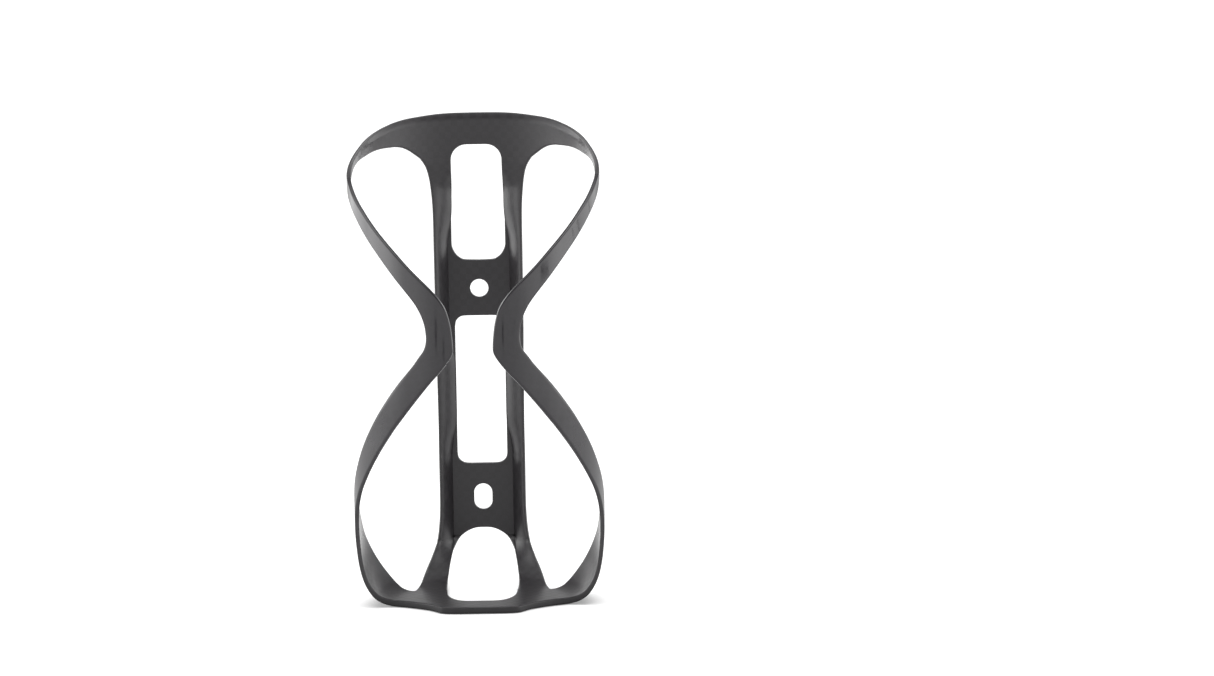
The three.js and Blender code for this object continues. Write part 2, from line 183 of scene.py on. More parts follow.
def on_cup(points):
    """Nearest points on the cup, their outward normals and meridian distances."""
    shape = points.shape[:-1]
    q = points.reshape(-1, 3)
    r = np.hypot(q[:, 0], q[:, 1] - AXIS_Y)
    z = q[:, 2]
    best = np.full(len(q), 1e18)
    idx = np.zeros(len(q), int)
    par = np.zeros(len(q))
    for i, (start, end) in enumerate(zip(CUP_LINE[:-1], CUP_LINE[1:])):
        dr, dz = end - start
        t = np.clip(((r - start[0]) * dr + (z - start[1]) * dz) / (dr * dr + dz * dz), 0, 1)
        gap = (r - start[0] - dr * t) ** 2 + (z - start[1] - dz * t) ** 2
        closer = gap < best
        best[closer], idx[closer], par[closer] = gap[closer], i, t[closer]

    def between(values, t):
        return values[idx] + (values[idx + 1] - values[idx]) * t
    pos = between(CUP_LINE, par[:, None])
    nor = unit(between(CUP_NORMAL, par[:, None]))
    ux, uy = q[:, 0] / r, (q[:, 1] - AXIS_Y) / r
    P = np.column_stack([ux * pos[:, 0], AXIS_Y + uy * pos[:, 0], pos[:, 1]])
    N = np.column_stack([ux * nor[:, 0], uy * nor[:, 0], nor[:, 1]])
    return P.reshape(shape + (3,)), N.reshape(shape + (3,)), between(CUP_RUN, par).reshape(shape)


def wall(angle, z):
    """The point of the cup's wall at an angle and height."""
    r = float(np.interp(-z, -WALL_Z, WALL_R))
    t = math.radians(angle)
    return [r * math.sin(t), AXIS_Y - r * math.cos(t), z]


def base(x, y):
    """The point of the cup's underside at x, y."""
    r = math.hypot(x, y - AXIS_Y)
    if r <= WALL_R[-1]:
        return [x, y, BASE_Z]
    return [x, y, float(np.interp(r, WALL_R[::-1], WALL_Z[::-1]))]


# -------------------------------------------------------------------- stations
# Right strap, from the collar forward and down, and back to the hoop.
# One edge's angle and z, the other edge's angle and z.
STRAP = [
    [85.0, 103.55, 86.8, 100.85],
    [84.5, 103.4, 86.3, 100.7], [78, 101.8, 80.3, 98.3], [72, 99.9, 75, 96.3],
    [66, 97.7, 69.5, 94.1], [60, 95.4, 64, 91.7], [54, 92.7, 59, 89.3],
    [48, 89.9, 53.5, 86.5], [42, 87.0, 48, 83.6], [36, 83.9, 42.5, 80.4],
    [30, 80.6, 37, 77.0], [24, 77.4, 31.7, 73.7], [19.5, 74.9, 27.5, 70.8],
    [15.4, 72.2, 24.9, 68.4], [12.4, 69.4, 23.3, 66.3], [10.9, 66.8, 22.3, 64.4],
    [9.9, 64.0, 21.8, 62.6], [9.3, 61.0, 21.6, 60.8], [9.0, 58.3, 21.8, 59.2],
    [9.2, 56.6, 22.4, 57.8], [10.3, 55.0, 23.5, 56.5], [12.6, 52.9, 25.5, 54.9],
    [16, 50.3, 28.4, 52.5], [20, 47.6, 32, 50.0], [25, 44.0, 36.2, 47.2],
    [30, 40.4, 41.0, 43.8], [35, 36.8, 45.8, 40.3], [40, 33.3, 50.5, 36.9],
    [45, 29.7, 55, 33.5], [50, 26.2, 59.3, 30.3], [55, 22.7, 63.8, 26.9],
    [60, 19.3, 68, 23.7], [65, 16.0, 72.3, 20.4], [70, 12.9, 76.5, 17.3],
    [74.5, 9.9, 80.6, 14.4], [79, 6.8, 84.5, 11.4], [82.0, 4.3, 88.0, 9.0],
    [82.5, 3.75, 88.7, 8.45],
]
# Right half of the hoop, from the strap's lower end to the middle: front edge, rear edge.
HOOP = [
    [wall(*STRAP[-1][:2]), wall(*STRAP[-1][2:])], [wall(85.3, 0.5), wall(93.5, 5.0)],
    [wall(87, -3), wall(99, 0.8)], [wall(87.8, -6.5), wall(104.0, -4.0)],
    [wall(88.2, -10), wall(108.6, -7.7)], [wall(88.2, -13.5), wall(112.8, -11.1)],
    [wall(88.0, -16.8), wall(116.6, -14.4)], [wall(88.0, -19.6), wall(119.7, -17.4)],
    [wall(88.2, -21.6), wall(121.7, -20.0)], [base(28.8, -41.6), wall(122.4, -21.9)],
    [base(26, -41), base(24.4, -26.0)], [base(23, -42), base(22.0, -27.2)],
    [base(20.3, -43.4), base(20.2, -27.5)], [base(17.5, -45.2), base(16.5, -27.5)],
    [base(14.8, -47.3), base(13, -27.5)], [base(12.9, -49.6), base(10.45, -27.5)],
    [base(12.2, -50.6), base(10.35, -31)], [base(11.5, -51.4), base(9.9, -35)],
    [base(10.4, -51.9), base(8.7, -38.6)], [base(8.8, -52.2), base(6.9, -41.2)],
    [base(6.4, -52.4), base(4.9, -42.4)], [base(3.2, -52.4), base(2.5, -42.6)],
    [base(0, -52.4), base(0, -42.6)],
]
HOOP_JOIN = (12, 15)                # stations between which it meets a rail's foot
# Right half of the collar: top edge's angle and z, bottom edge's angle and z.
COLLAR = [
    STRAP[0], [89, 104.6, 90.5, 102.0], [95, 106.0, 95.5, 103.5],
    [100, 107.2, 100, 104.8], [104, 108.2, 104, 105.7], [108, 109.2, 108, 106.4],
    [112, 110.2, 112, 106.95], [116, 111.3, 116, 107.4], [120, 112.3, 120, 107.95],
    [124, 113.2, 124, 108.4], [128, 114.0, 128, 108.7], [132, 114.75, 132, 108.8],
    [136, 115.4, 136, 108.8], [139, 115.9, 139, 108.75], [143, 116.4, 143, 108.3],
    [146.5, 116.75, 146.5, 107.35], [149.5, 116.95, 149.5, 106.1],
    [152, 117.1, 152.8, RAIL_TOP], [156, 117.35, 156, RAIL_TOP],
    [162, 117.65, 162, RAIL_TOP], [167.9, 117.8, 167.9, RAIL_TOP],
    [168.4, 117.8, 168.4, 105.5], [169.4, 117.8, 169.4, 106.55],
    [171.1, 117.8, 171.1, 107.5], [173.1, 117.8, 173.1, 108.1],
    [175.2, 117.8, 175.2, 108.3], [177.6, 117.8, 177.6, 108.3], [180, 117.8, 180, 108.3],
]
COLLAR_JOIN = (17, 20)              # stations between which it meets a rail's top
# z, x of a rail's outer edge
RAIL_OUTER = [
    [-12.3, 13.95], [-10, 13.55], [-8, 13.3], [-5, 13.05], [0, 12.9], [20, 12.95],
    [40, 13.1], [68, 13.25], [80, 13.3], [88, 13.4], [92, 13.6], [96, 13.95],
    [99, 14.35], [101.5, 14.92], [103.2, 15.68], [RAIL_TOP, 16.55],
]
# z, x of a rail's inner edge above the upper plate
UPPER_WINDOW = [[77.9, 8.05], [92, 8.0], [96, 7.75], [100, 7.62], [103.4, 7.62],
                [RAIL_TOP, 7.56]]
# Right rail's foot, downward and forward to the hoop:
# inner edge x, y, z; outer edge x, y, z; how much of the rail's section is left
FOOT = [
    [6.85, SHEET / 2, LOW_BOT, 13.98, -6.65, LOW_BOT, 1.0],
    [7.4, 0.45, -12.65, 14.1, -7.05, -12.65, 0.97],
    [8.0, -0.1, -13.4, 14.45, -7.8, -13.5, 0.92],
    [8.6, -1.3, -14.35, 14.85, -8.95, -14.5, 0.85],
    [9.3, -3.6, -15.75, 15.35, -10.35, -15.6, 0.7],
    [9.8, -6.2, -17.2, 15.95, -11.85, -16.95, 0.55],
    [10.2, -8.7, -18.8, 16.7, -13.4, -18.4, 0.4],
    [10.5, -10.9, -20.4, 17.5, -15.2, -20.1, 0.25],
    [10.75, -12.9, -22.0, 18.15, -17.4, -21.55, 0.1],
    [10.8, -16.0, -23.2, 18.8, -20.2, -22.95, 0.0],
    [10.7, -20.5, -23.9, 19.4, -23.4, -23.75, 0.0],
    [10.45, -27.5, BASE_Z, 20.2, -27.5, BASE_Z, 0.0],
]
# Right half of each plate's top and bottom edges, x and z; top from the middle outward,
# bottom back to the middle
UPPER_PLATE_TOP = [[0, 72.6], [4.2, 72.75], [5.6, 73.3], [6.8, 74.35], [7.65, 75.8],
                   [8.0, 77.0], [8.05, UP_TOP]]
UPPER_PLATE_BOTTOM = [[WINDOW_X, UP_BOT], [7.2, 54.0], [6.3, 55.1], [4.7, 55.65], [0, 55.7]]
LOWER_PLATE_TOP = [[0, 10.3], [4.6, 10.35], [6.2, 10.9], [7.15, 11.9], [7.45, 13.0],
                   [WINDOW_X, LOW_TOP]]
LOWER_PLATE_BOTTOM = [[6.85, LOW_BOT], [5.6, -11.05], [4.1, -10.2], [2.6, -9.7],
                      [1.3, -9.53], [0, -9.5]]

# ------------------------------------------------------------- mesh from grids
QUARTER = np.linspace(0, math.pi / 2, RIM_STEPS + 1)
INSET, THINNING = 1 - np.cos(QUARTER), 1 - np.sin(QUARTER)    # of a rounded edge, radius 1
FLIP_X = np.array([-1, 1, 1])


def columns(length, rim_a, rim_b, middle):
    """Column parameters 0..1 for rows of given length with edges rounded by rim_a and
    rim_b, and how far inside full thickness each column is, in mm."""
    ra, rb = (np.broadcast_to(rim, length.shape)[:, None] for rim in (rim_a, rim_b))
    length = length[:, None]
    inner = np.linspace(0, 1, middle + 1)[1:-1]
    q = np.hstack([ra * INSET / length,
                   ra / length + (1 - ra / length - rb / length) * inner,
                   1 - rb * INSET[::-1] / length])
    drop = np.hstack([ra * THINNING, np.zeros((len(length), middle - 1)),
                      rb * THINNING[::-1]])
    return q, drop


def between_edges(a, b, q):
    return a[:, None] + (b - a)[:, None] * q[..., None]


def with_left(right, left):
    """Rows of the right half, then of the left half back from the middle."""
    return np.concatenate([right, left[:-1][::-1]])


def add_object(name, data):
    ob = bpy.data.objects.new(name, data)
    bpy.context.scene.collection.objects.link(ob)
    return ob


def finish_mesh(name, V, faces, cloth, rim=None, polish=None, mirror=False):
    """An object from points in mm, with the attributes the carbon reads."""
    P = ((V * FLIP_X if mirror else V) + ORIGIN) / 1000
    me = bpy.data.meshes.new(name)
    me.from_pydata(P.tolist(), [], faces)
    me.update()
    tri = np.array([(f[0], f[k], f[k + 1]) for f in faces for k in range(1, len(f) - 1)])
    if np.sum(P[tri[:, 0]] * np.cross(P[tri[:, 1]], P[tri[:, 2]])) < 0:   # inside out
        me.flip_normals()
    attribute = me.attributes.new("cloth", "FLOAT_VECTOR", "POINT")
    uvw = np.column_stack([cloth, np.zeros(len(cloth))])
    attribute.data.foreach_set("vector", uvw.astype(np.float32).ravel())
    for key, values in (("rim", rim), ("polish", polish)):
        values = np.zeros(len(V)) if values is None else values
        attribute = me.attributes.new(key, "FLOAT", "POINT")
        attribute.data.foreach_set("value", np.asarray(values, np.float32))
    me.polygons.foreach_set("use_smooth", [True] * len(me.polygons))
    me.set_sharp_from_angle(angle=SHARP)
    return add_object(name, me)


def slab(name, mid, nrm, half, cloth, mirror=False, polish=None):
    """A closed curved sheet: mid surface, unit normals and half thickness on a grid."""
    n, m = mid.shape[:2]
    V = np.vstack([(mid + nrm * half[..., None]).reshape(-1, 3),
                   (mid - nrm * half[..., None]).reshape(-1, 3)])
    o = np.arange(n * m).reshape(n, m)
    i = o + n * m
    corners = (
        (o[:-1, :-1], o[1:, :-1], o[1:, 1:], o[:-1, 1:]),
        (i[:-1, :-1], i[:-1, 1:], i[1:, 1:], i[1:, :-1]),
        (o[:-1, 0], i[:-1, 0], i[1:, 0], o[1:, 0]),
        (o[:-1, -1], o[1:, -1], i[1:, -1], i[:-1, -1]),
        (o[0, :-1], o[0, 1:], i[0, 1:], i[0, :-1]),
        (o[-1, :-1], i[-1, :-1], i[-1, 1:], o[-1, 1:]),
    )
    quads = np.vstack([np.stack([c.ravel() for c in four], 1) for four in corners])
    edge = np.zeros((n, m))
    edge[:, 0] = edge[:, -1] = 1
    shine = np.zeros(len(V))
    if polish is not None:                      # on the bottle's side only
        shine[n * m:] = polish.ravel()
    return finish_mesh(name, V, quads.tolist(), np.vstack([cloth.reshape(-1, 2)] * 2),
                       np.concatenate([edge.ravel()] * 2), shine, mirror)


# -- strap: from the side forward and down, then back out ------------------------
def strap(name, mirror):
    table = np.array(STRAP)
    u = steps(len(STRAP), 7)
    a, b = (through([wall(*s) for s in edge], u) for edge in (table[:, :2], table[:, 2:]))
    length = lengths(a, b)
    q, drop = columns(length, RIM, RIM, 14)
    mid, nrm, _ = on_cup(between_edges(a, b, q))
    run = np.repeat(run_along((a + b) / 2)[:, None], q.shape[1], 1)
    cloth = np.stack([(q - 0.5) * length[:, None], run], -1)
    return slab(name, mid, nrm, SHEET / 2 - drop, cloth, mirror)


# -- collar: the band round the rear of the bottle's top -------------------------
def collar_surface(angle, z, z_top):
    """A cylinder that flares by LIP towards its top edge, except near the straps."""
    flare = smooth(105, 135, angle) * LIP
    r = RING_R + flare * (1 - smooth(0, 1.9, z_top - z))
    t = np.radians(angle)
    return np.stack([r * np.sin(t), AXIS_Y - r * np.cos(t), z], -1)


def collar(name):
    table = np.array(COLLAR)
    sub = 8
    u = steps(len(table), sub)
    a0, z0 = through(table[:, :2], u).T
    a1, z1 = smoothed_with_corners(table[:, 2:], COLLAR_JOIN, sub).T
    joined = (u >= COLLAR_JOIN[0]) & (u <= COLLAR_JOIN[1])
    length = np.hypot(RING_R * np.radians(a1 - a0), z1 - z0)
    q, drop = columns(length, RIM, np.where(joined, JOIN, RIM), 18)
    angle = a0[:, None] + (a1 - a0)[:, None] * q
    z = z0[:, None] + (z1 - z0)[:, None] * q
    z_top = np.repeat(z0[:, None], q.shape[1], 1)
    mid = collar_surface(angle, z, z_top)
    e = 0.05
    nrm = unit(np.cross(
        collar_surface(angle + e, z, z_top) - collar_surface(angle - e, z, z_top),
        collar_surface(angle, z + e, z_top) - collar_surface(angle, z - e, z_top)))
    cloth = np.stack([RING_R * np.radians(180 - angle), z], -1)
    half = SHEET / 2 - drop
    polish = (1 - smooth(112, 138, angle)) * smooth(86, 104, angle)
    return slab(name, with_left(mid, mid * FLIP_X), with_left(nrm, nrm * FLIP_X),
                with_left(half, half), with_left(cloth, cloth * FLIP_X[:2]),
                polish=with_left(polish, polish))


# -- hoop: round the bottle's foot and across under it ---------------------------
def hoop(name):
    sub = 7
    u = steps(len(HOOP), sub)
    a = through([h[0] for h in HOOP], u)
    b = smoothed_with_corners([h[1] for h in HOOP], HOOP_JOIN, sub)
    thick = SHEET + (BASE_T - SHEET) * smooth(5, 11, u)
    joined = (u >= HOOP_JOIN[0]) & (u <= HOOP_JOIN[1])
    q, drop = columns(lengths(a, b), RIM, np.where(joined, JOIN, RIM), 26)
    mid, nrm, down = on_cup(between_edges(a, b, q))
    half = thick[:, None] / 2 - drop
    # the cloth is laid by x under the bottle and by the meridian up its side
    r = np.hypot(mid[..., 0], mid[..., 1] - AXIS_Y)
    k = smooth(24, 33, r)
    flat = CUP_RUN[-1] - (np.abs(mid[..., 0]) * (1 - k) + r * k)
    v = flat * (1 - k) + down * k
    cloth = np.stack([mid[..., 1], v], -1)
    cloth_left = np.stack([mid[..., 1], 2 * CUP_RUN[-1] - v], -1)
    polish = (1 - smooth(2.0, 5.5, u)) * smooth(0.0, 1.6, u)
    polish = np.repeat(polish[:, None], q.shape[1], 1)
    return slab(name, with_left(mid, mid * FLIP_X), with_left(nrm, nrm * FLIP_X),
                with_left(half, half), with_left(cloth, cloth_left),
                polish=with_left(polish, polish))


# -- rail: one upright of the spine and the foot it stands on --------------------
def rise(x, z, x_outer):
    """Across the channel, 0 at the foot of its wall and 1 at its lip; steepest where it
    starts."""
    window = smooth(LOW_TOP, 26, z) - smooth(40, UP_BOT, z) + smooth(77, 91, z)
    x0 = CHANNEL_X + (WALL_X - CHANNEL_X) * window
    t = np.clip((x - x0) / (x_outer - x0), 0, 1)
    f = 0.25                                    # share of the width where it sets in
    q = np.minimum(t / f, 1)
    u = (f * (q ** 3 - q ** 4 / 2) + np.maximum(t - f, 0)) / (1 - f / 2)
    return 1 - np.maximum(1 - u, 0) ** 1.5


def rail_y(x, z):
    """The rail's mid surface: a channel that deepens at the bottom and turns into the
    collar's cylinder at the top."""
    depth = CHANNEL_D + 1.9 * np.clip((6 - z) / 18, 0, 1.1) ** 2.5
    channel = SHEET / 2 - depth * rise(x, z, curve(RAIL_OUTER, z))
    ring = AXIS_Y + np.sqrt(np.maximum(RING_R ** 2 - x ** 2, 1))
    q = np.clip((z - 91) / 13.4, 0, 1)
    b = (q ** 3 * (6 * q * q - 15 * q + 10)) ** 1.6
    return channel * (1 - b) + ring * b


def rail_slope_x(x, z, e=0.02):
    return (rail_y(x + e, z) - rail_y(x - e, z)) / (2 * e)


def rail_slope_z(x, z, e=0.02):
    return (rail_y(x, z + e) - rail_y(x, z - e)) / (2 * e)


def rail_rows():
    """z, inner edge x and inner rounding of each row, from the top down."""
    spans = (                                   # top z, bottom z, step, inner x, rounding
        (RAIL_TOP, UP_TOP + SEAM, 0.6, None, RIM),
        (UP_TOP - SEAM, UP_BOT + SEAM, 1.0, BOND_X, JOIN),
        (UP_BOT - SEAM, LOW_TOP + SEAM, 1.2, WINDOW_X, RIM),
        (LOW_TOP - SEAM, LOW_BOT + SEAM, 1.0, BOND_X, JOIN),
    )
    parts = []
    for top, bottom, step, x, rim in spans:
        z = np.linspace(top, bottom, int(round((top - bottom) / step)) + 1)
        inner = curve(UPPER_WINDOW, z) if x is None else np.full(len(z), x)
        parts.append((z, inner, np.full(len(z), rim)))
    return (np.concatenate(column) for column in zip(*parts))


def rail_upright(middle):
    """Grids of the upright: mid surface, normals, half thickness and cloth."""
    z, x_in, rim = rail_rows()
    x_out = curve(RAIL_OUTER, z)
    length = np.hypot(x_out - x_in, rail_y(x_out, z) - rail_y(x_in, z)) * 1.08
    q, drop = columns(length, rim, RIM, middle)
    X = x_in[:, None] + (x_out - x_in)[:, None] * q
    Z = np.repeat(z[:, None], X.shape[1], 1)
    mid = np.stack([X, rail_y(X, Z), Z], -1)
    slope = rail_slope_x(X, Z)
    nrm = unit(np.stack([-slope, np.ones_like(slope), -rail_slope_z(X, Z)], -1))
    # distance across, following the section
    across = run_along(mid) + np.minimum(x_in, CHANNEL_X)[:, None]
    across = np.where(X < CHANNEL_X, X, np.maximum(across, CHANNEL_X))
    return mid, nrm, SHEET / 2 - drop, np.stack([across, Z], -1)


def foot_point(u, q):
    """Points of the foot: u counts stations, q runs from the inner edge to the outer."""
    row = through(FOOT, u.ravel()).reshape(u.shape + (7,))
    a, b, curl = row[..., :3], row[..., 3:6], np.clip(row[..., 6], 0, 1)
    p = a + (b - a) * q[..., None]
    p[..., 2] -= SEAM * (u < 0.5)
    curved = a[..., 1] + (b[..., 1] - a[..., 1]) * rise(p[..., 0], p[..., 2], b[..., 0])
    p[..., 1] = p[..., 1] * (1 - curl) + curved * curl
    return p


def rail_foot(middle):
    """The same grids for the foot."""
    last = len(FOOT) - 1
    u = steps(len(FOOT), 6)
    row = through(FOOT, u)
    a, b = row[:, :3], row[:, 3:6]
    thick = SHEET + (BASE_T - SHEET) * smooth(6, last - 0.2, u)
    q, drop = columns(lengths(a, b) * 1.03, RIM, RIM, middle)
    U = np.repeat(u[:, None], q.shape[1], 1)
    mid = foot_point(U, q)
    h = 0.01
    du = foot_point(np.clip(U + h, 0, last), q) - foot_point(np.clip(U - h, 0, last), q)
    dq = foot_point(U, np.clip(q + h, 0, 1)) - foot_point(U, np.clip(q - h, 0, 1))
    nrm = unit(np.cross(dq, du))
    # start from the upright's own normals so that the surface has no crease at the seam
    x = mid[0, :, 0]
    slope = rail_slope_x(x, np.full_like(x, LOW_BOT))
    start = unit(np.stack([-slope, np.ones_like(slope), np.zeros_like(slope)], -1))
    k = smooth(0, 1.0, u)[:, None, None]
    nrm = unit(nrm * k + start[None] * (1 - k))
    across = run_along(mid) + a[:, 0][:, None]
    down = LOW_BOT - np.repeat(run_along((a + b) / 2)[:, None], q.shape[1], 1)
    return mid, nrm, thick[:, None] / 2 - drop, np.stack([across, down], -1)


def rail(name, mirror):
    middle = 22
    grids = [np.vstack(pair) for pair in zip(rail_upright(middle), rail_foot(middle))]
    return slab(name, *grids, mirror)


# -- bolt plates: flat webs with a raised pad behind -----------------------------
def left_normals(loop, use):
    """Normals to the left of a closed loop, from the used edges beside each point."""
    def turned(d):
        return np.stack([-d[:, 1], d[:, 0]], 1) / np.linalg.norm(d, axis=1, keepdims=True)
    after, before = use & np.roll(use, -1), use & np.roll(use, 1)
    v = (np.where(after[:, None], turned(np.roll(loop, -1, 0) - loop), 0)
         + np.where(before[:, None], turned(loop - np.roll(loop, 1, 0)), 0))
    size = np.linalg.norm(v, axis=1, keepdims=True)
    return np.where(size > 1e-6, v / np.maximum(size, 1e-9), 0)


def plate_outline(top, bottom):
    """Closed clockwise outline, and True where the edge is trimmed, not bonded."""
    top_edge, bottom_edge = smoothed(top, 5), smoothed(bottom, 5)
    z_top, z_bottom = top[-1][1], bottom[0][1]
    side = np.column_stack([np.full(25, BOND_X),
                            z_top + (z_bottom - z_top) * np.linspace(0, 1, 25)])
    right = np.vstack([top_edge, side, bottom_edge])
    free = np.array([True] * len(top_edge) + [False] * len(side) + [True] * len(bottom_edge))
    return (np.vstack([right, right[::-1][1:-1] * FLIP_X[:2]]),
            np.concatenate([free, free[::-1][1:-1]]))


def stadium(centre_z, straight, r, count=64):
    """Counter-clockwise hole outline; straight: half the length of its sides."""
    points = []
    for i in range(count):
        t = 2 * math.pi * i / count
        x, z = r * math.cos(t), r * math.sin(t)
        shift = straight if z > 1e-9 else -straight if z < -1e-9 else 0
        points.append([x, centre_z + z + shift])
    return np.array(points)


def plate(name, top, bottom, hole):
    outline, free = plate_outline(top, bottom)
    n, m = len(outline), len(hole)
    nrm = left_normals(outline, free)
    into_plate = -left_normals(hole, np.ones(m, bool))
    toward_rail = np.stack([np.sign(outline[:, 0]), np.zeros(n)], 1)
    toward_rail = np.where(free[:, None], 0, toward_rail)
    # the bonded sides ease up to full thickness, less so near the corners' narrow tips
    tips = outline[~free, 1]
    near = np.minimum(np.abs(outline[:, 1] - tips.max()), np.abs(outline[:, 1] - tips.min()))
    away = smooth(1.0, 6.0, near)
    ease = np.where(free, 0.1, 0.1 + 0.9 * away)[:, None]
    lip = np.where(free, 0.08, 0.08 + 0.17 * away)[:, None]
    w = RIM * 0.8
    rounding = list(zip(INSET, THINNING))
    # loops from front to back: points and their y
    outer = [(outline - nrm * (w + lip) - toward_rail * lip, np.zeros(n))]
    inner = [(hole + into_plate * (w + 0.1), np.zeros(m))]
    for inset, thinning in rounding[::-1]:
        outer.append((outline - nrm * w * inset, w * thinning * free))
        inner.append((hole + into_plate * w * inset, np.full(m, w * thinning)))
    for i, (inset, thinning) in enumerate(rounding):
        c = i / RIM_STEPS
        y_join = SHEET + (PLATE_T - SHEET) * (1 - math.cos(math.pi * c)) / 2
        y = PLATE_T - w * thinning
        outer.append((outline - nrm * w * inset - toward_rail * ease * c,
                      np.where(free, y, y_join)))
        inner.append((hole + into_plate * w * inset, np.full(m, y)))
    outer.append((outline - nrm * (w + lip) - toward_rail * (ease + lip),
                  np.full(n, PLATE_T)))
    inner.append((hole + into_plate * (w + 0.1), np.full(m, PLATE_T)))
    V = np.vstack([np.stack([p[:, 0], y, p[:, 1]], 1) for p, y in outer + inner])
    faces = []
    hole_start = len(outer) * n
    for first, loops, count in ((0, outer, n), (hole_start, inner, m)):
        for i in range(len(loops) - 1):
            a, b = first + i * count, first + (i + 1) * count
            for j in range(count):
                l = (j + 1) % count
                faces.append([a + j, a + l, b + l, b + j])
    # flat front and back, tessellated round the hole
    last = len(outer) - 1
    for o0, h0 in ((0, hole_start), (last * n, hole_start + last * m)):
        rings = [[Vector((x, z, 0)) for x, _, z in V[start:start + count]]
                 for start, count in ((o0, n), (h0, m))]
        for tri in tessellate_polygon(rings):
            faces.append([o0 + t if t < n else h0 + t - n for t in tri])
    ob = finish_mesh(name, V, faces, V[:, [0, 2]])
    bm = bmesh.new()
    bm.from_mesh(ob.data)
    bmesh.ops.remove_doubles(bm, verts=bm.verts, dist=1e-7)
    bmesh.ops.recalc_face_normals(bm, faces=bm.faces)
    bm.to_mesh(ob.data)
    bm.free()
    ob.data.set_sharp_from_angle(angle=SHARP)
    return ob


# ------------------------------------------------------------------- materials
class Nodes:
    """Short-hand for building shader trees."""
    MIX_SOCKETS = {"FLOAT": (2, 3, 0), "VECTOR": (4, 5, 1), "RGBA": (6, 7, 2)}

    def __init__(self, owner):
        owner.use_nodes = True
        self.t = owner.node_tree
        self.t.nodes.clear()

    def new(self, kind, **props):
        n = self.t.nodes.new(kind)
        for k, v in props.items():
            setattr(n, k, v)
        return n

    def put(self, sock, value):
        if isinstance(value, bpy.types.NodeSocket):
            self.t.links.new(value, sock)
        else:
            sock.default_value = value

    def math(self, op, *values, clamp=False):
        n = self.new("ShaderNodeMath", operation=op, use_clamp=clamp)
        for s, v in zip(n.inputs, values):
            self.put(s, v)
        return n.outputs[0]

    def add(self, a, b, clamp=False):
        return self.math("ADD", a, b, clamp=clamp)

    def sub(self, a, b):
        return self.math("SUBTRACT", a, b)

    def mul(self, a, b):
        return self.math("MULTIPLY", a, b)

    def swing(self, value, amount):
        """A value around 0.5 turned into one around 0, scaled."""
        return self.mul(self.sub(value, 0.5), amount)

    def fade(self, value, factor, target):
        return self.add(self.mul(value, self.sub(1.0, factor)), self.mul(factor, target))

    def ramp(self, value, start, end, lo=0.0, hi=1.0):
        n = self.new("ShaderNodeMapRange", interpolation_type="SMOOTHSTEP")
        for s, v in zip(n.inputs, (value, start, end, lo, hi)):
            self.put(s, v)
        return n.outputs[0]

    def noise(self, vec, scale, detail=2.0, rough=0.5):
        n = self.new("ShaderNodeTexNoise", noise_dimensions="3D")
        self.put(n.inputs["Vector"], vec)
        self.put(n.inputs["Scale"], scale)
        self.put(n.inputs["Detail"], detail)
        self.put(n.inputs["Roughness"], rough)
        return n.outputs["Fac"]

    def xyz(self, x, y, z):
        n = self.new("ShaderNodeCombineXYZ")
        for s, v in zip(n.inputs, (x, y, z)):
            self.put(s, v)
        return n.outputs[0]

    def split(self, vec):
        n = self.new("ShaderNodeSeparateXYZ")
        self.put(n.inputs[0], vec)
        return n.outputs

    def mix(self, f, a, b, kind="RGBA"):
        n = self.new("ShaderNodeMix", data_type=kind)
        in_a, in_b, out = self.MIX_SOCKETS[kind]
        self.put(n.inputs[0], f)
        self.put(n.inputs[in_a], a)
        self.put(n.inputs[in_b], b)
        return n.outputs[out]

    def bump(self, height, strength, distance):
        n = self.new("ShaderNodeBump")
        self.put(n.inputs["Strength"], strength)
        self.put(n.inputs["Distance"], distance)
        self.put(n.inputs["Height"], height)
        return n.outputs[0]

    def attribute(self, name, output="Fac"):
        n = self.new("ShaderNodeAttribute", attribute_name=name, attribute_type="GEOMETRY")
        return n.outputs[output]

    def openness(self, distance):
        """1 in the open, falling to 0 where other surfaces are near."""
        n = self.new("ShaderNodeAmbientOcclusion", samples=8, inside=False)
        self.put(n.inputs["Distance"], distance)
        return n.outputs["AO"]

    def coords(self, output):
        return self.new("ShaderNodeTexCoord").outputs[output]

    def output(self, kind, shader):
        self.t.links.new(shader, self.new(kind).inputs[0])


def woven(g, u, v, obj, tow):
    """Plain weave: which tow is on top, the arch of that tow and its fine filaments."""
    # the cloth never lies perfectly straight
    drift_u = g.noise(obj, scale=45.0)
    drift_v = g.noise(g.xyz(g.add(u, 31.0), v, 5.0), scale=0.09)
    uu = g.add(u, g.swing(drift_u, 0.9))
    vv = g.add(v, g.swing(drift_v, 1.2))
    a = g.math("DIVIDE", uu, tow)
    b = g.math("DIVIDE", vv, tow)
    # odd and even checks
    cell = g.add(g.math("FLOOR", a), g.math("FLOOR", b))
    check = g.math("MODULO", g.math("ABSOLUTE", cell), 2.0)
    over = g.ramp(check, 0.4, 0.6)
    # each tow is a shallow arch across its width
    fa = g.sub(g.math("FRACT", a), 0.5)
    fb = g.sub(g.math("FRACT", b), 0.5)
    arch_a = g.sub(1.0, g.mul(g.mul(fa, fa), 4.0))
    arch_b = g.sub(1.0, g.mul(g.mul(fb, fb), 4.0))
    arch = g.mix(over, arch_a, arch_b, "FLOAT")
    # filaments: fine across the tow, long along it
    fine, long = 9.0, 0.35
    fil_a = g.noise(g.xyz(g.mul(uu, fine), g.mul(vv, long), 2.0), scale=1.0)
    fil_b = g.noise(g.xyz(g.mul(uu, long), g.mul(vv, fine), 8.0), scale=1.0)
    return over, arch, g.mix(over, fil_a, fil_b, "FLOAT")


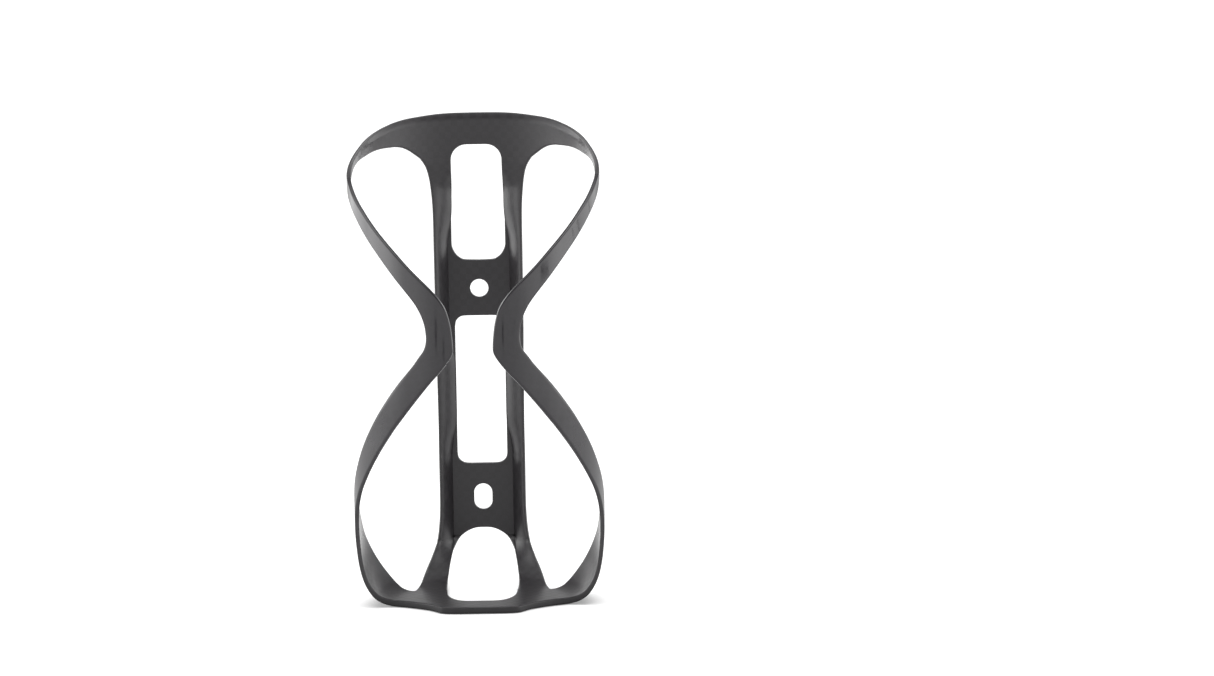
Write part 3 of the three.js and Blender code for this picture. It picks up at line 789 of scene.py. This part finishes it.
def carbon(name, tow, dark, light, rough, coat, follow, weave, bump, worn=None, polished=0.0):
    """Lacquered carbon. tow: width of one check in mm; rough: of the lacquer; follow: how
    far the lacquer takes the cloth's relief; weave: how strongly it shows; worn: start and
    end along the cloth in mm, added roughness; polished: roughness added by "polish"."""
    mat = bpy.data.materials.new(name)
    g = Nodes(mat)
    u, v, _ = g.split(g.attribute("cloth", "Vector"))
    obj = g.coords("Object")
    over, arch, fil = woven(g, u, v, obj, tow)
    cloud = g.noise(obj, scale=160.0, detail=3.0, rough=0.6)
    # tone between dark and light: checks, filaments and clouds
    tone = g.add(g.swing(over, weave), 0.5)
    tone = g.add(tone, g.swing(fil, 0.5))
    tone = g.add(tone, g.swing(cloud, 0.35), clamp=True)
    # painted shade from ambient occlusion: 1 in the open, falling towards 0 in crevices and
    # recesses
    free_of_painted_shade = g.ramp(g.openness(distance=0.02), 0.15, 0.85)
    tone_gain = 1.0
    tone = g.mul(tone, tone_gain)
    rim = g.attribute("rim")
    col = g.mix(tone, (*dark, 1), (*light, 1))
    rim_tint = tuple(c * 1.6 for c in light)
    col = g.mix(g.mul(rim, 0.25), col, (*rim_tint, 1))
    # lacquer roughness: varied by checks and clouds, higher at the rims
    r = g.add(rough, g.swing(over, 0.10 * weave))
    r = g.add(r, g.swing(cloud, 0.10))
    r = g.add(r, g.mul(rim, 0.08), clamp=True)
    shine = g.attribute("polish")
    r = g.add(r, g.mul(shine, polished), clamp=True)
    if worn:                                   # the lacquer turns satin along the strap
        start, end, amount = worn
        r = g.add(r, g.ramp(v, start, end, 0.0, amount))
    col = g.mix(free_of_painted_shade, (0.004, 0.004, 0.004, 1), col)      # painted shade: near black in crevices and recesses, where other surfaces are near
    relief = g.add(g.mul(arch, weave), g.mul(fil, 0.25))
    cloth = g.bump(relief, strength=bump, distance=0.00006)
    # slow waviness of the lacquer, which follows the cloth a little
    wave = g.noise(obj, scale=220.0, detail=1.0)
    wavy = g.bump(wave, strength=0.10, distance=0.00012)
    skin = g.mix(follow, wavy, cloth, "VECTOR")
    p = g.new("ShaderNodeBsdfPrincipled")
    # painted shade: the lacquer's reflection is weakened in crevices and recesses too
    coat_weight = g.mul(g.add(0.45, g.mul(free_of_painted_shade, 0.55)), coat)
    settings = {
        "Base Color": col, "Roughness": 0.6, "Normal": cloth, "IOR": 1.5,
        "Specular IOR Level": 0.0, "Coat Weight": coat_weight, "Coat Roughness": r,
        "Coat IOR": 1.5, "Coat Normal": skin,
    }
    if polished:                               # fibres near the straps catch slanting light
        settings["Sheen Weight"] = g.mul(shine, 0.7)
        settings["Sheen Roughness"] = 0.45
    for key, value in settings.items():
        g.put(p.inputs[key], value)
    g.output("ShaderNodeOutputMaterial", p.outputs[0])
    return mat


SATIN = carbon("carbon_satin_weave", tow=1.9, dark=(0.0172, 0.0158, 0.0175),
               light=(0.0292, 0.0268, 0.0300), rough=0.38, coat=1.0, follow=0.35,
               weave=0.32, bump=0.45, polished=-0.12)
GLOSS = carbon("carbon_gloss", tow=1.9, dark=(0.0152, 0.0140, 0.0160),
               light=(0.0262, 0.0240, 0.0280), rough=0.08, coat=1.0, follow=0.06,
               weave=0.12, bump=0.12, worn=(85.0, 112.0, 0.22))


# ---------------------------------------------------------------------- pieces
def hold(ob, node):
    """A piece of the rigid frame."""
    ob.data.materials.append(SATIN)
    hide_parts(node)
    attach(ob, "frame")


hold(collar("collar_band"), "top_collar")
hold(hoop("hoop_and_shelf"), "base_hoop")
hold(rail("rail_right", False), "right_rail")
hold(rail("rail_left", True), "left_rail")
hold(plate("bolt_plate_upper", UPPER_PLATE_TOP, UPPER_PLATE_BOTTOM,
           stadium(HOLE_Z, 0.0, HOLE_R)), "upper_bolt_plate")
hold(plate("bolt_plate_lower", LOWER_PLATE_TOP, LOWER_PLATE_BOTTOM,
           stadium(0.0, SLOT_H, SLOT_R)), "lower_bolt_plate")
for side, x, mirror in (("right", 0.0361, False), ("left", -0.0361, True)):
    ob = strap("strap_" + side, mirror)
    ob.data.materials.append(GLOSS)
    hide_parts(side + "_wing")
    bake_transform(ob)

# ------------------------------------------------------------------ floor, light
FLOOR_WHITE, FLOOR_GLOW = 0.60, 0.58
TABLE = 1.0                         # brightness of the table in reflections
TABLE_R = (0.28, 0.62)              # radii between which it fades out, m
# bearing from the front in degrees, brightness
ROUND = [(0, 1.2), (30, 1.2), (62, 2.1), (86, 3.8), (102, 3.6), (116, 2.7), (140, 2.0),
         (160, 0.75), (180, 0.75)]
LEFT = 0.20                         # how much stronger the left is than the mean
DIM, TOP, REAR = 0.28, 1.2, 1.05    # above the panels, overhead, low band behind


def add_quad(name, corners, mat):
    me = bpy.data.meshes.new(name)
    me.from_pydata(corners, [], [(0, 1, 2, 3)])
    me.materials.append(mat)
    return add_object(name, me)


def floor_material():
    """White to the camera, with a painted contact shadow; to reflections, a lit table top with
    an end, carrying the same painted shadow.
    """
    mat = bpy.data.materials.new("floor_white")
    g = Nodes(mat)
    pos = g.coords("Object")
    diffuse = g.new("ShaderNodeBsdfDiffuse")
    mottle = g.noise(pos, scale=3.0)
    darker, lighter = ((FLOOR_WHITE + d,) * 3 + (1,) for d in (-0.01, 0.01))
    g.put(diffuse.inputs["Color"], g.mix(mottle, darker, lighter))
    table = g.new("ShaderNodeEmission")
    g.put(table.inputs["Color"], (1, 1, 1, 1))
    near = g.ramp(g.openness(distance=0.008), 0.25, 0.95)      # painted contact shadow: darker where the part is near
    # painted contact shadow in the table that reflections see
    g.put(table.inputs["Strength"], g.mul(g.add(0.3, g.mul(near, 0.7)), TABLE))
    clear = g.new("ShaderNodeBsdfTransparent")
    radius = g.new("ShaderNodeVectorMath", operation="LENGTH")
    g.put(radius.inputs[0], pos)
    reflected = g.new("ShaderNodeMixShader")
    g.put(reflected.inputs[0], g.ramp(radius.outputs["Value"], *TABLE_R))
    g.put(reflected.inputs[1], table.outputs[0])
    g.put(reflected.inputs[2], clear.outputs[0])
    final = g.new("ShaderNodeMixShader")
    g.put(final.inputs[0], g.new("ShaderNodeLightPath").outputs["Is Camera Ray"])
    g.put(final.inputs[1], reflected.outputs[0])
    glow = g.new("ShaderNodeEmission")
    # painted contact shadow in the floor's glow
    g.put(glow.inputs["Strength"], g.mul(g.add(0.35, g.mul(near, 0.65)), FLOOR_GLOW))
    lit = g.new("ShaderNodeAddShader")
    g.put(lit.inputs[0], diffuse.outputs[0])
    g.put(lit.inputs[1], glow.outputs[0])
    g.put(final.inputs[2], lit.outputs[0])
    g.output("ShaderNodeOutputMaterial", final.outputs[0])
    return mat


def floor():
    s, z = 6.0, -0.0001
    corners = [(-s, -s, z), (s, -s, z), (s, s, z), (-s, s, z)]
    add_quad("floor", corners, floor_material())


def world():
    """A soft studio: level by bearing from the front, evened out overhead and below."""
    w = bpy.data.worlds.new("studio")
    bpy.context.scene.world = w
    g = Nodes(w)
    direction = g.coords("Generated")
    normal = g.new("ShaderNodeVectorMath", operation="NORMALIZE")
    g.put(normal.inputs[0], direction)
    x, y, z = g.split(normal.outputs[0])
    to_degrees = 57.29578
    bearing = g.mul(g.math("ARCTAN2", g.math("ABSOLUTE", x), g.mul(y, -1.0)), to_degrees)
    level = g.add(0.0, ROUND[0][1])
    for (a0, e0), (a1, e1) in zip(ROUND[:-1], ROUND[1:]):
        if e1 != e0:
            level = g.add(level, g.ramp(bearing, a0, a1, 0.0, e1 - e0))
    # the left panel is the stronger one, most of all towards the back
    left = g.ramp(x, 0.25, -0.25, 1.0 - LEFT, 1.0 + LEFT)
    tilt = g.ramp(bearing, 60.0, 120.0)
    level = g.mul(level, g.add(1.0, g.mul(tilt, g.sub(left, 1.0))))
    # a low band behind
    behind = g.ramp(bearing, 125.0, 160.0)
    low = g.mul(g.ramp(z, 0.0, 0.10), g.sub(1.0, g.ramp(z, 0.17, 0.30)))
    level = g.add(level, g.mul(g.mul(low, behind), REAR))
    # the side panels stand taller than the front one
    wide = g.ramp(bearing, 35.0, 80.0)
    wide = g.mul(wide, g.sub(1.0, g.mul(behind, 0.8)))
    panel_top = g.add(0.02, g.mul(wide, 0.45))
    level = g.fade(level, g.ramp(g.sub(z, panel_top), 0.0, 0.25), DIM)
    level = g.fade(level, g.ramp(z, 0.70, 0.92), TOP)
    level = g.fade(level, g.ramp(z, -0.2, -0.6), TABLE)
    background = g.new("ShaderNodeBackground")
    g.put(background.inputs["Strength"], level)
    g.put(background.inputs["Color"], (1, 1, 1, 1))
    g.output("ShaderNodeOutputWorld", background.outputs[0])


def overhead():
    light = bpy.data.lights.new("overhead", "AREA")
    light.shape = "RECTANGLE"
    light.size, light.size_y = 1.2, 0.9
    light.energy = 7.0
    ob = add_object("overhead", light)
    ob.location = (0.0, -0.10, 1.3)
    ob.visible_camera = False


floor()
world()
overhead()

# Small black cards that only reflections see. Each darkens the reflection at one place of
# a strap: its angle and z, the card's elevation, width and height in mm, sideways slope.
CARD_AWAY = 0.25                    # distance from the strap, m
RIGHT_CARDS = (
    (34.0, 79.0, -8.0, 38, 3.0, 0.0), (56.0, 90.6, -7.4, 36, 1.2, 0.25),
    (52.0, 88.4, -7.6, 26, 1.0, 0.3), (66.0, 95.0, -7.0, 40, 1.1, 0.35),
    (13.0, 62.0, -8.8, 6, 8.0, 0.0), (19.5, 68.2, -8.5, 40, 0.9, -0.4),
    (22.5, 68.6, -8.5, 34, 0.8, -0.4),
)
LEFT_CARDS = ((17.5, 62.5, -8.8, 8, 9.0, 0.0), (14.0, 57.0, -8.9, 6, 6.0, 0.0))


def card_material():
    mat = bpy.data.materials.new("card_black")
    g = Nodes(mat)
    diffuse = g.new("ShaderNodeBsdfDiffuse")
    g.put(diffuse.inputs["Color"], (0.01, 0.01, 0.01, 1))
    g.output("ShaderNodeOutputMaterial", diffuse.outputs[0])
    return mat


def card(name, mat, sign, angle, z, elevation, width, height, slope):
    """sign: 1 for the right strap, -1 for the left."""
    px, py, pz = wall(angle, z)
    azimuth = math.radians(sign * 2 * angle)      # the mirror direction of the front
    e = math.radians(elevation)
    direction = Vector((math.sin(azimuth) * math.cos(e), -math.cos(azimuth) * math.cos(e),
                        math.sin(e)))
    spot = (np.array([sign * px, py, pz]) + ORIGIN) / 1000
    centre = Vector(spot.tolist()) + direction * CARD_AWAY
    up = Vector((0, 0, 1))
    across = direction.cross(up).normalized()
    hw, hh = width / 2000, height / 2000
    corners = [tuple(centre + across * (hw * i) + up * (hh * j + slope * i * hw))
               for i, j in ((-1, -1), (1, -1), (1, 1), (-1, 1))]
    ob = add_quad(name, corners, mat)
    ob.visible_camera = ob.visible_diffuse = ob.visible_shadow = False


CARD_BLACK = card_material()
for side, sign, cards in (("right", 1, RIGHT_CARDS), ("left", -1, LEFT_CARDS)):
    for i, row in enumerate(cards):
        card("card_%s_%d" % (side, i), CARD_BLACK, sign, *row)

# ---------------------------------------------------------------------- camera
camera = bpy.data.cameras.new("camera")
camera.sensor_width = 36.0
camera.lens = 134.7934537
camera.clip_start, camera.clip_end = 0.01, 50.0
camera_object = add_object("camera", camera)
# in front of the part and a little above it, looking to the rear
camera_object.matrix_world = Matrix((
    (9.99880182e-01, 1.54793950e-02, -9.80572900e-05, 0.03820093),
    (-2.48605016e-03, 1.54325801e-01, -9.88016886e-01, -1.32008462),
    (-1.52787709e-02, 9.87898748e-01, 1.54345792e-01, 0.28531477),
    (0, 0, 0, 1)))
bpy.context.scene.camera = camera_object
bpy.context.scene.view_settings.view_transform = "Standard"
bpy.context.scene.view_settings.look = "None"
